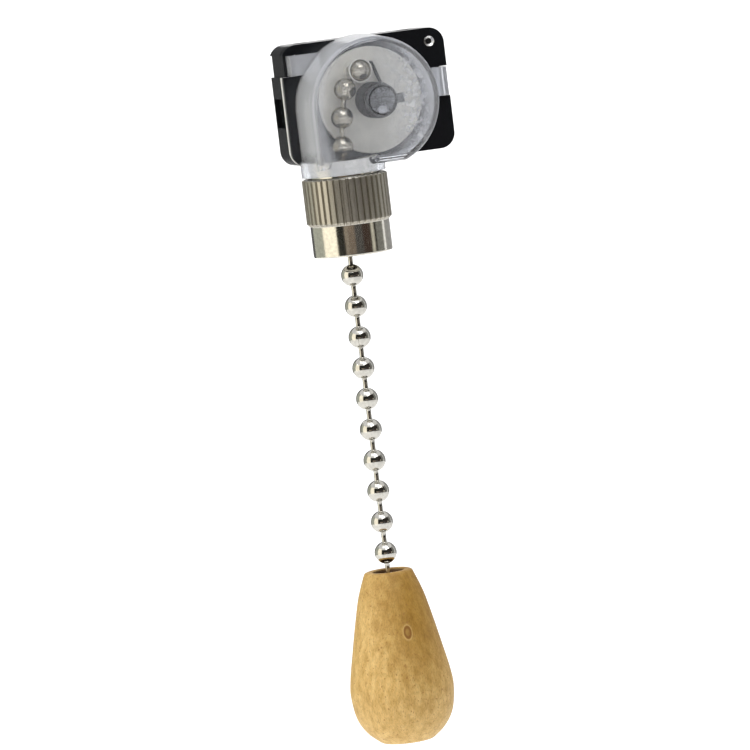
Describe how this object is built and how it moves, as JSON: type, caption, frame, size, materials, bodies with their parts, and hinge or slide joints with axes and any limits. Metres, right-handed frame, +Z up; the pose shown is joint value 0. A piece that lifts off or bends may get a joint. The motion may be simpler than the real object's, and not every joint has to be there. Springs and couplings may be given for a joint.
{
  "type": "pull cord switch",
  "caption": "Bead-chain pull switch: black contact housing, clear drum cover, threaded bushing with long knurled nut, and a turned wooden pull.",
  "frame": {"origin": "on the axis of the threaded bushing, in the plane of the shoulder that seats on the panel", "axes": "+Z up into the housing, -Y out of the clear cover's face, +X to the right seen from the front; the pull hangs along -Z"},
  "size_m": [0.0268, 0.0174, 0.1047],
  "materials": {
    "black_plastic": "glossy moulded, black",
    "clear_plastic": "clear moulded, glossy",
    "white_card": "matte white card",
    "nickel_plate": "bright nickel plate",
    "steel": "drawn pin",
    "zinc": "dull grey die casting",
    "cream_plastic": "natural cream moulding",
    "spring_steel": "dark spring wire",
    "white_plastic": "moulded acetal",
    "copper": "bare copper strip",
    "brass": "stamped brass",
    "bronze": "phosphor bronze leaf",
    "bead_nickel": "bright nickel-plated beads",
    "wood": "satin varnished, light tan"
  },
  "bodies": {
    "housing": {"contact_housing": "black_plastic", "front_plate": "black_plastic", "insulating_card": "white_card", "corner_rivets": "nickel_plate", "clear_cover": "clear_plastic", "threaded_bushing": "nickel_plate", "pivot_pin": "steel", "spring_cap": "zinc", "line_terminal": "brass", "load_terminal": "brass", "line_contact_leaf": "bronze", "load_contact_leaf": "bronze", "detent_spring": "spring_steel"},
    "nut": {"knurled_nut": "nickel_plate"},
    "drum": {"chain_drum": "cream_plastic", "anchor_bead": "bead_nickel", "return_spring": "spring_steel"},
    "anchor_rod": {"anchor_link": "bead_nickel"},
    "rotor": {"contact_rotor": "white_plastic", "contact_bridge": "copper"},
    "guide_chain": {"guide_beads": "bead_nickel", "guide_links": "bead_nickel"},
    "free_chain": {"outer_beads": "bead_nickel", "outer_links": "bead_nickel"},
    "pull_hanger": {"pull_beads": "bead_nickel", "pull_links": "bead_nickel"},
    "pull": {"wood_pull": "wood"}
  },
  "joints": [
    {"name": "chain_pull", "type": "slide", "parent": "housing", "child": "guide_chain", "axis": [-0.0436, 0, -0.999], "range_m": [0, 0.00745], "stiffness_N_per_m": 150, "springref_m": -0.008},
    {"name": "drum_turn", "type": "hinge", "parent": "housing", "child": "drum", "pos_m": [0.0059, 0, 0.0101], "axis": [0, -1, 0], "range_deg": [0, 90.5], "deforming": ["return_spring"]},
    {"name": "rotor_turn", "type": "hinge", "parent": "housing", "child": "rotor", "pos_m": [0.0059, 0, 0.0101], "axis": [0, -1, 0], "range_deg": [0, 90.5]},
    {"name": "anchor_rod_swing", "type": "hinge", "parent": "drum", "child": "anchor_rod", "pos_m": [0.00408, 0, 0.01469], "axis": [0, -1, 0], "range_deg": [-46.18, 0]},
    {"name": "chain_swing", "type": "hinge", "parent": "guide_chain", "child": "free_chain", "pos_m": [-0.0006, 0, -0.01045], "axis": [0, 1, 0], "range_deg": [-30, 30]},
    {"name": "pull_tilt", "type": "hinge", "parent": "free_chain", "child": "pull_hanger", "pos_m": [-0.0006, 0, -0.05645], "axis": [1, 0, 0], "range_deg": [-20, 20]},
    {"name": "pull_spin", "type": "hinge", "parent": "pull_hanger", "child": "pull", "pos_m": [-0.0006, 0, -0.07], "axis": [0, 0, 1], "continuous": true},
    {"name": "nut_travel", "type": "slide", "parent": "housing", "child": "nut", "axis": [0, 0, -1], "range_m": [-0.00025, 0.004]}
  ],
  "couplings": [
    {"joint": "drum_turn", "follows": "chain_pull", "rad_per_m": 210.85},
    {"joint": "rotor_turn", "follows": "chain_pull", "rad_per_m": 210.85},
    {"joint": "anchor_rod_swing", "follows": "chain_pull", "rad_per_m": -107.02}
  ]
}
